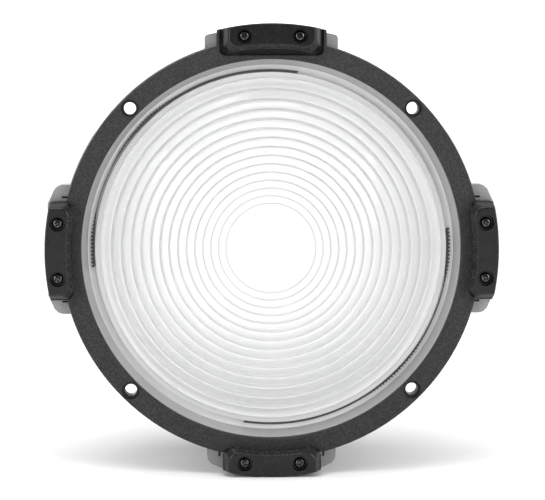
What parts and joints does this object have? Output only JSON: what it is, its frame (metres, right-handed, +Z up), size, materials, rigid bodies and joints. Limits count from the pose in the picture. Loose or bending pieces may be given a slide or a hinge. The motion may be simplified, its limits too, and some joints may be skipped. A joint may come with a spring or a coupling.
{
  "type": "fresnel spotlight lens attachment",
  "caption": "Round fresnel spotlight head: a stepped glass lens in a grey barrel with a black front ring, accessory ears, a spring latch, a ribbed zoom ring and a rear bayonet.",
  "frame": {"origin": "centre of the light inlet, in the plane of the rear seat face", "axes": "+Z up (the spring latch is at the top), +X to the right of a viewer who faces the lens, -Y along the light beam"},
  "size_m": [0.302, 0.271, 0.302],
  "materials": {
    "black_casting": "matt black textured powder coat",
    "black_tube": "matt black anodised",
    "black_ring": "fine-textured black powder coat",
    "black_ear": "satin black paint",
    "grey_casting": "satin silver-grey paint",
    "white_liner": "matt white heat-proof paint",
    "white_mark": "matt white fill",
    "white_acetal": "smooth",
    "white_silicone": "matt silicone",
    "dark_rubber": "matt",
    "grip_rubber": "matt, grooved",
    "lens_glass": "clear pressed borosilicate glass",
    "aluminium": "turned",
    "steel": "zinc plated",
    "screw_steel": "bright zinc plated",
    "dark_screw": "dark zinc plated",
    "black_steel": "black oxide"
  },
  "bodies": {
    "rear_housing": {"rear_cover": "black_casting", "index_mark": "white_mark", "bayonet_ring": "steel", "bayonet_screws": "screw_steel", "rear_liner": "white_liner", "fixed_barrel": "aluminium", "fixed_barrel_screws": "screw_steel", "front_glide_ring": "white_acetal", "rear_thrust_washer": "white_acetal", "front_thrust_washer": "white_acetal", "zoom_retainer": "aluminium", "zoom_retainer_screws": "black_steel"},
    "zoom_control": {"zoom_ring": "black_tube", "zoom_grip": "grip_rubber", "scale_band": "black_tube"},
    "lens_barrel": {"lens_housing": "grey_casting", "front_ring": "black_ring", "front_ring_screws": "screw_steel", "fresnel_lens": "lens_glass", "lens_gasket": "white_silicone", "lens_cushion_strips": "dark_rubber", "lens_retainer": "grey_casting", "inner_sleeve": "aluminium", "sleeve_liner": "white_liner", "sleeve_screws": "screw_steel", "rear_glide_ring": "white_acetal", "cam_pins": "steel", "cam_bushes": "white_acetal", "ear_left": "black_ear", "ear_right": "black_ear", "ear_bottom": "black_ear", "ear_screws_left": "dark_screw", "ear_screws_right": "dark_screw", "ear_screws_bottom": "dark_screw", "latch_anchor_posts": "steel", "latch_cover": "grey_casting", "latch_cover_screws": "screw_steel"},
    "top_latch": {"latch_cap": "black_ear", "latch_slide": "steel", "latch_slide_posts": "steel", "latch_screws": "dark_screw", "latch_springs": "steel"}
  },
  "joints": [
    {"name": "focus_slide", "type": "slide", "parent": "rear_housing", "child": "lens_barrel", "axis": [0, -1, 0], "range_m": [0, 0.05]},
    {"name": "zoom_turn", "type": "hinge", "parent": "rear_housing", "child": "zoom_control", "pos_m": [0, -0.11, 0], "axis": [0, -1, 0], "range_deg": [0, 90]},
    {"name": "latch_pull", "type": "slide", "parent": "lens_barrel", "child": "top_latch", "axis": [0, 0, 1], "range_m": [0, 0.007], "stiffness_N_per_m": 900, "springref_m": -0.006, "deforming": ["latch_springs"]}
  ],
  "couplings": [
    {"joint": "zoom_turn", "follows": "focus_slide", "rad_per_m": 31.416}
  ]
}
